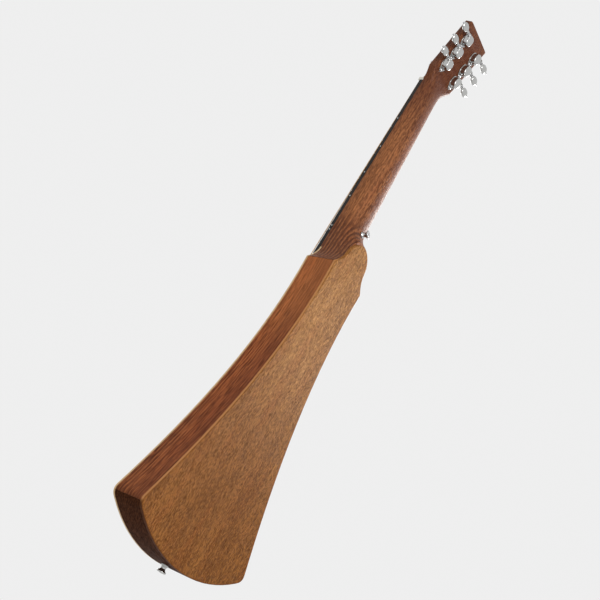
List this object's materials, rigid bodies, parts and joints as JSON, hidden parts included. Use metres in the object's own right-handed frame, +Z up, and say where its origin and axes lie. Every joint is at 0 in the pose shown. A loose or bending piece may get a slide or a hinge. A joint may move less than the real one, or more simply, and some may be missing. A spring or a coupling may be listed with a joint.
{
  "type": "travel guitar",
  "caption": "Slim wooden travel guitar with a narrow paddle-shaped body, fretted neck, six steel strings and geared tuning machines; strung for a left-handed player.",
  "frame": {"origin": "on the neck's front plane at the nut, where a hanger's fork holds the headstock's shoulders", "axes": "+Z up along the neck to the headstock, +Y out of the back, +X to the bass side"},
  "size_m": [0.235, 0.0657, 0.9319],
  "materials": {
    "neck_wood": "satin",
    "side_wood": "satin",
    "back_wood": "satin",
    "spruce": "satin",
    "dark_board": "satin",
    "bone": "satin",
    "white_pins": "glossy",
    "chrome": "satin",
    "steel": "satin",
    "brass": "satin"
  },
  "bodies": {
    "guitar": {"neck": "neck_wood", "side_bass": "side_wood", "side_treble": "side_wood", "tail_block": "side_wood", "soundboard": "spruce", "back_plate": "back_wood", "fingerboard": "dark_board", "nut": "bone", "saddle": "bone", "bridge": "dark_board", "bridge_plate": "back_wood", "truss_rod": "steel", "heel_strap_button": "chrome", "end_strap_button": "chrome", "heel_strap_screw": "steel", "end_strap_screw": "steel", "soundboard_bracing": "spruce", "back_bracing": "spruce", "string_1": "steel", "string_2": "steel", "string_3": "steel", "string_4": "brass", "string_5": "brass", "string_6": "brass", "bridge_pin_1": "white_pins", "bridge_pin_2": "white_pins", "bridge_pin_3": "white_pins", "bridge_pin_4": "white_pins", "bridge_pin_5": "white_pins", "bridge_pin_6": "white_pins", "tuner_housing_1": "chrome", "tuner_housing_2": "chrome", "tuner_housing_3": "chrome", "tuner_housing_4": "chrome", "tuner_housing_5": "chrome", "tuner_housing_6": "chrome"},
    "button_1": {"tuner_button_1": "chrome", "tuner_worm_1": "steel"},
    "post_1": {"tuner_post_1": "chrome", "tuner_gear_1": "brass"},
    "button_2": {"tuner_button_2": "chrome", "tuner_worm_2": "steel"},
    "post_2": {"tuner_post_2": "chrome", "tuner_gear_2": "brass"},
    "button_3": {"tuner_button_3": "chrome", "tuner_worm_3": "steel"},
    "post_3": {"tuner_post_3": "chrome", "tuner_gear_3": "brass"},
    "button_4": {"tuner_button_4": "chrome", "tuner_worm_4": "steel"},
    "post_4": {"tuner_post_4": "chrome", "tuner_gear_4": "brass"},
    "button_5": {"tuner_button_5": "chrome", "tuner_worm_5": "steel"},
    "post_5": {"tuner_post_5": "chrome", "tuner_gear_5": "brass"},
    "button_6": {"tuner_button_6": "chrome", "tuner_worm_6": "steel"},
    "post_6": {"tuner_post_6": "chrome", "tuner_gear_6": "brass"}
  },
  "joints": [
    {"name": "button_1_turn", "type": "hinge", "parent": "guitar", "child": "button_1", "pos_m": [-0.0188, 0.02921, 0.03869], "axis": [1, 0, 0], "continuous": true},
    {"name": "post_1_turn", "type": "hinge", "parent": "guitar", "child": "post_1", "pos_m": [-0.0188, 0.02005, 0.03412], "axis": [0, -0.9776, 0.2105], "continuous": true},
    {"name": "button_2_turn", "type": "hinge", "parent": "guitar", "child": "button_2", "pos_m": [-0.0188, 0.03475, 0.0644], "axis": [1, 0, 0], "continuous": true},
    {"name": "post_2_turn", "type": "hinge", "parent": "guitar", "child": "post_2", "pos_m": [-0.0188, 0.02558, 0.05983], "axis": [0, -0.9776, 0.2105], "continuous": true},
    {"name": "button_3_turn", "type": "hinge", "parent": "guitar", "child": "button_3", "pos_m": [-0.0188, 0.04028, 0.09011], "axis": [1, 0, 0], "continuous": true},
    {"name": "post_3_turn", "type": "hinge", "parent": "guitar", "child": "post_3", "pos_m": [-0.0188, 0.03112, 0.08554], "axis": [0, -0.9776, 0.2105], "continuous": true},
    {"name": "button_4_turn", "type": "hinge", "parent": "guitar", "child": "button_4", "pos_m": [0.0188, 0.04028, 0.09011], "axis": [1, 0, 0], "continuous": true},
    {"name": "post_4_turn", "type": "hinge", "parent": "guitar", "child": "post_4", "pos_m": [0.0188, 0.03112, 0.08554], "axis": [0, -0.9776, 0.2105], "continuous": true},
    {"name": "button_5_turn", "type": "hinge", "parent": "guitar", "child": "button_5", "pos_m": [0.0188, 0.03475, 0.0644], "axis": [1, 0, 0], "continuous": true},
    {"name": "post_5_turn", "type": "hinge", "parent": "guitar", "child": "post_5", "pos_m": [0.0188, 0.02558, 0.05983], "axis": [0, -0.9776, 0.2105], "continuous": true},
    {"name": "button_6_turn", "type": "hinge", "parent": "guitar", "child": "button_6", "pos_m": [0.0188, 0.02921, 0.03869], "axis": [1, 0, 0], "continuous": true},
    {"name": "post_6_turn", "type": "hinge", "parent": "guitar", "child": "post_6", "pos_m": [0.0188, 0.02005, 0.03412], "axis": [0, -0.9776, 0.2105], "continuous": true}
  ],
  "couplings": [
    {"joint": "post_1_turn", "follows": "button_1_turn", "ratio": 0.071429},
    {"joint": "post_2_turn", "follows": "button_2_turn", "ratio": 0.071429},
    {"joint": "post_3_turn", "follows": "button_3_turn", "ratio": 0.071429},
    {"joint": "post_4_turn", "follows": "button_4_turn", "ratio": 0.071429},
    {"joint": "post_5_turn", "follows": "button_5_turn", "ratio": 0.071429},
    {"joint": "post_6_turn", "follows": "button_6_turn", "ratio": 0.071429}
  ]
}
